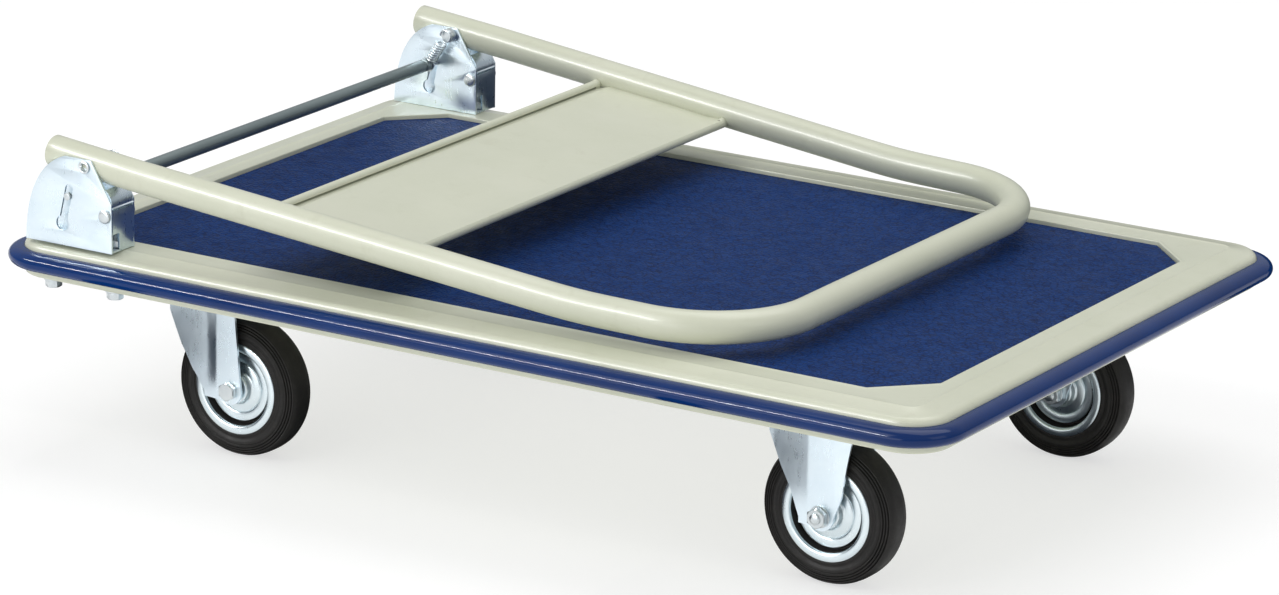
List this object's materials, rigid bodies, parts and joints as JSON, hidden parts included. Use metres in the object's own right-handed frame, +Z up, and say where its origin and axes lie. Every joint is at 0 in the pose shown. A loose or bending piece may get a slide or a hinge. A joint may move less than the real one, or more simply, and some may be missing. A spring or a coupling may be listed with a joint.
{
  "type": "folding platform cart",
  "caption": "Folding platform cart: pressed steel deck with a rubbery mat and bumper, fixed and swivel casters, and a tubular push handle that folds over the deck.",
  "frame": {"origin": "on the floor, under the middle of the deck", "axes": "+X along the cart's length, from the handle's hinges to the far end, +Y across the deck to the left for a person facing +X, +Z up"},
  "size_m": [0.943, 0.639, 0.2826],
  "materials": {
    "beige_paint": "gloss",
    "mat_vinyl": "leather-grained vinyl",
    "bumper_pvc": "gloss",
    "zinc_plate": "bright zinc plated",
    "dark_paint": "satin",
    "tyre_rubber": "matt",
    "bearing_steel": "plain"
  },
  "bodies": {
    "deck": {"deck_pan": "beige_paint", "anti_slip_mat": "mat_vinyl", "bumper_strip": "bumper_pvc", "side_rail_left": "beige_paint", "side_rail_right": "beige_paint", "caster_channel_rear": "beige_paint", "caster_channel_front": "beige_paint", "hinge_bracket_left": "zinc_plate", "hinge_bracket_right": "zinc_plate", "pivot_pin_left": "zinc_plate", "pivot_pin_right": "zinc_plate", "stop_rivet_left": "zinc_plate", "stop_rivet_right": "zinc_plate", "bracket_bolt_left_front": "zinc_plate", "bracket_bolt_left_rear": "zinc_plate", "bracket_bolt_right_front": "zinc_plate", "bracket_bolt_right_rear": "zinc_plate", "bracket_nut_left_front": "zinc_plate", "bracket_nut_left_rear": "zinc_plate", "bracket_nut_right_front": "zinc_plate", "bracket_nut_right_rear": "zinc_plate", "return_spring_left": "bearing_steel", "return_spring_right": "bearing_steel", "fixed_caster_left_fork": "zinc_plate", "fixed_caster_left_axle_bolt": "zinc_plate", "fixed_caster_left_axle_nut": "zinc_plate", "fixed_caster_left_axle_sleeve": "bearing_steel", "fixed_caster_right_fork": "zinc_plate", "fixed_caster_right_axle_bolt": "zinc_plate", "fixed_caster_right_axle_nut": "zinc_plate", "fixed_caster_right_axle_sleeve": "bearing_steel", "swivel_caster_left_top_plate": "zinc_plate", "swivel_caster_left_bearing_ring": "bearing_steel", "swivel_caster_left_kingpin": "zinc_plate", "swivel_caster_right_top_plate": "zinc_plate", "swivel_caster_right_bearing_ring": "bearing_steel", "swivel_caster_right_kingpin": "zinc_plate"},
    "handle": {"handle_tube": "beige_paint", "handle_panel": "beige_paint"},
    "release": {"release_bar": "dark_paint", "bar_washer_left": "zinc_plate", "bar_washer_right": "zinc_plate", "pin_stud_left": "zinc_plate", "pin_stud_right": "zinc_plate"},
    "fixed_wheel_left": {"fixed_caster_left_rim": "zinc_plate", "fixed_caster_left_tyre": "tyre_rubber"},
    "fixed_wheel_right": {"fixed_caster_right_rim": "zinc_plate", "fixed_caster_right_tyre": "tyre_rubber"},
    "swivel_left": {"swivel_caster_left_fork": "zinc_plate", "swivel_caster_left_axle_bolt": "zinc_plate", "swivel_caster_left_axle_nut": "zinc_plate", "swivel_caster_left_axle_sleeve": "bearing_steel"},
    "swivel_right": {"swivel_caster_right_fork": "zinc_plate", "swivel_caster_right_axle_bolt": "zinc_plate", "swivel_caster_right_axle_nut": "zinc_plate", "swivel_caster_right_axle_sleeve": "bearing_steel"},
    "swivel_wheel_left": {"swivel_caster_left_rim": "zinc_plate", "swivel_caster_left_tyre": "tyre_rubber"},
    "swivel_wheel_right": {"swivel_caster_right_rim": "zinc_plate", "swivel_caster_right_tyre": "tyre_rubber"}
  },
  "joints": [
    {"name": "handle_fold", "type": "hinge", "parent": "deck", "child": "handle", "pos_m": [-0.3775, 0, 0.2646], "axis": [0, -1, 0], "range_deg": [0, 99.7]},
    {"name": "release_slide", "type": "slide", "parent": "deck", "child": "release", "axis": [-0.2309, 0, -0.973], "range_m": [0, 0.025], "stiffness_N_per_m": 900, "springref_m": -0.008, "deforming": ["return_spring_left", "return_spring_right"]},
    {"name": "fixed_left_spin", "type": "hinge", "parent": "deck", "child": "fixed_wheel_left", "pos_m": [0.3153, 0.202, 0.0625], "axis": [0, 1, 0], "continuous": true},
    {"name": "fixed_right_spin", "type": "hinge", "parent": "deck", "child": "fixed_wheel_right", "pos_m": [0.3153, -0.202, 0.0625], "axis": [0, 1, 0], "continuous": true},
    {"name": "swivel_left_turn", "type": "hinge", "parent": "deck", "child": "swivel_left", "pos_m": [-0.3145, 0.202, 0.142], "axis": [0, 0, 1], "continuous": true},
    {"name": "swivel_right_turn", "type": "hinge", "parent": "deck", "child": "swivel_right", "pos_m": [-0.3145, -0.202, 0.142], "axis": [0, 0, 1], "continuous": true},
    {"name": "swivel_left_spin", "type": "hinge", "parent": "swivel_left", "child": "swivel_wheel_left", "pos_m": [-0.2785, 0.202, 0.0625], "axis": [0, 1, 0], "continuous": true},
    {"name": "swivel_right_spin", "type": "hinge", "parent": "swivel_right", "child": "swivel_wheel_right", "pos_m": [-0.2785, -0.202, 0.0625], "axis": [0, 1, 0], "continuous": true}
  ]
}
